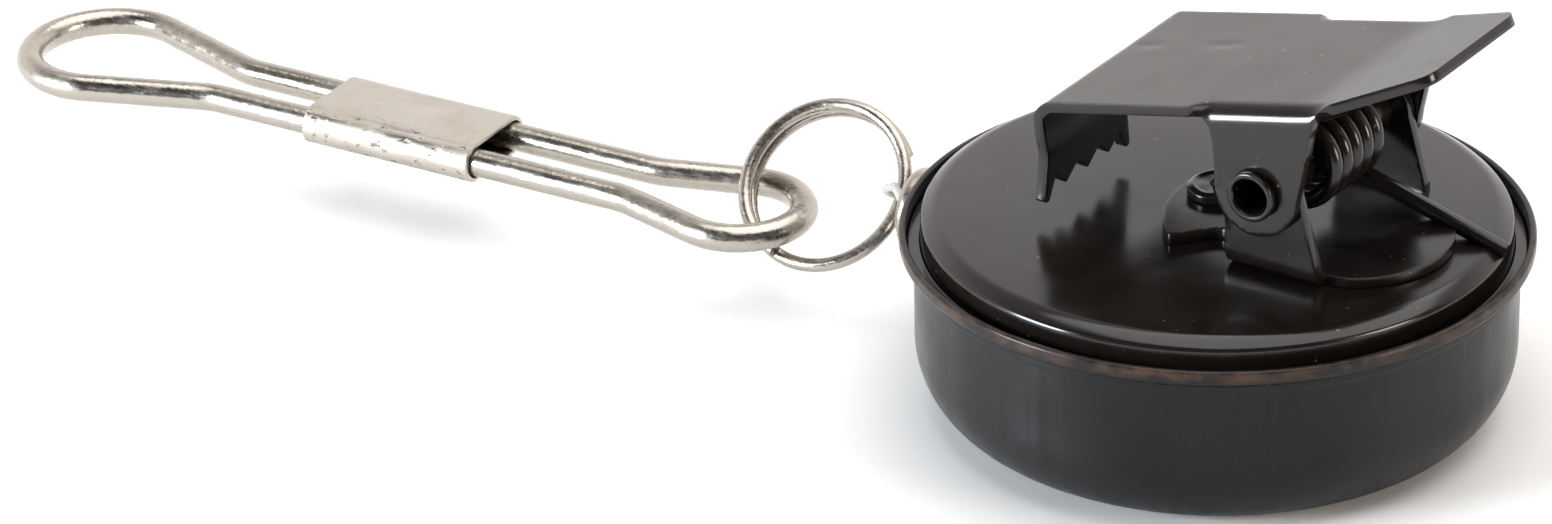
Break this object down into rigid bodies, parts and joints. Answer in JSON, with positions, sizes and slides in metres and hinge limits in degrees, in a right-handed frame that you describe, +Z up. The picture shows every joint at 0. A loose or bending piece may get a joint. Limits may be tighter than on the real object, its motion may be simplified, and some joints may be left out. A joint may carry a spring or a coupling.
{
  "type": "retractable cord reel",
  "caption": "Small round retractable cord reel with a swivelling toothed spring clip, a split ring and a long wire snap closed by a sliding sleeve.",
  "frame": {"origin": "centre of the case's flat front face, which it rests on", "axes": "+Z up from the front face to the clip on the back plate; the cord, ring and snap leave the case towards -X; the clip's tail points towards +X"},
  "size_m": [0.0888, 0.032, 0.0234],
  "materials": {
    "case_black": "satin black lacquer with a soft blue-grey sheen and worn lip",
    "plate_black": "semi-gloss black enamel",
    "clip_black": "semi-gloss black enamel on pressed steel",
    "ferrule_nickel": "bright nickel plate",
    "ring_nickel": "polished nickel plate",
    "snap_nickel": "polished nickel-plated wire",
    "sleeve_nickel": "dull nickel plate, scratched along one side",
    "cord": "clear grey nylon cord",
    "spool_plastic": "white acetal",
    "spring_steel": "blued spring steel",
    "inner_steel": "plain zinc-plated steel"
  },
  "bodies": {
    "case": {"case_cup": "case_black", "back_plate": "plate_black", "exit_ferrule": "ferrule_nickel", "center_post": "inner_steel", "swivel_rivet": "clip_black", "rivet_washer": "inner_steel", "spool_washer": "inner_steel", "mainspring": "spring_steel", "cord_lead": "cord"},
    "reel": {"spool": "spool_plastic", "spring_cover": "inner_steel", "cord_winding": "cord"},
    "cord_end": {"cord_crimp": "ferrule_nickel", "cord_loop": "cord"},
    "ring": {"split_ring": "ring_nickel"},
    "snap": {"snap_wire": "snap_nickel"},
    "sleeve": {"snap_sleeve": "sleeve_nickel"},
    "clip": {"clip_base": "clip_black", "clip_pivot_pin": "clip_black", "clip_spring": "clip_black"},
    "lever": {"clip_lever": "clip_black"}
  },
  "joints": [
    {"name": "cord_pull", "type": "slide", "parent": "case", "child": "cord_end", "axis": [-1, 0, 0], "range_m": [0, 0.6], "stiffness_N_per_m": 1, "springref_m": -0.5, "deforming": ["cord_lead"]},
    {"name": "spool_spin", "type": "hinge", "parent": "case", "child": "reel", "pos_m": [0, 0, 0.0066], "axis": [0, 0, 1], "range_deg": [0, 3000], "deforming": ["mainspring"]},
    {"name": "ring_swing", "type": "hinge", "parent": "cord_end", "child": "ring", "pos_m": [-0.01906, 0.00174, 0.00644], "axis": [-0.1736, 0.6964, 0.6964], "range_deg": [-60, 60]},
    {"name": "snap_swing", "type": "hinge", "parent": "ring", "child": "snap", "pos_m": [-0.0259, -0.001, 0.0046], "axis": [0, 1, 0], "range_deg": [-60, 3]},
    {"name": "sleeve_slide", "type": "slide", "parent": "snap", "child": "sleeve", "axis": [1, 0, 0], "range_m": [-0.0045, 0.0068]},
    {"name": "clip_swivel", "type": "hinge", "parent": "case", "child": "clip", "pos_m": [0, 0, 0.01095], "axis": [0, 0, 1], "continuous": true},
    {"name": "clip_open", "type": "hinge", "parent": "clip", "child": "lever", "pos_m": [0.00589, -0.00041, 0.0157], "axis": [0.0698, 0.9976, 0], "range_deg": [0, 24], "stiffness_Nm_per_rad": 0.1, "springref_deg": -22.92, "deforming": ["clip_spring"]}
  ],
  "couplings": [
    {"joint": "spool_spin", "follows": "cord_pull", "rad_per_m": 86.957}
  ]
}
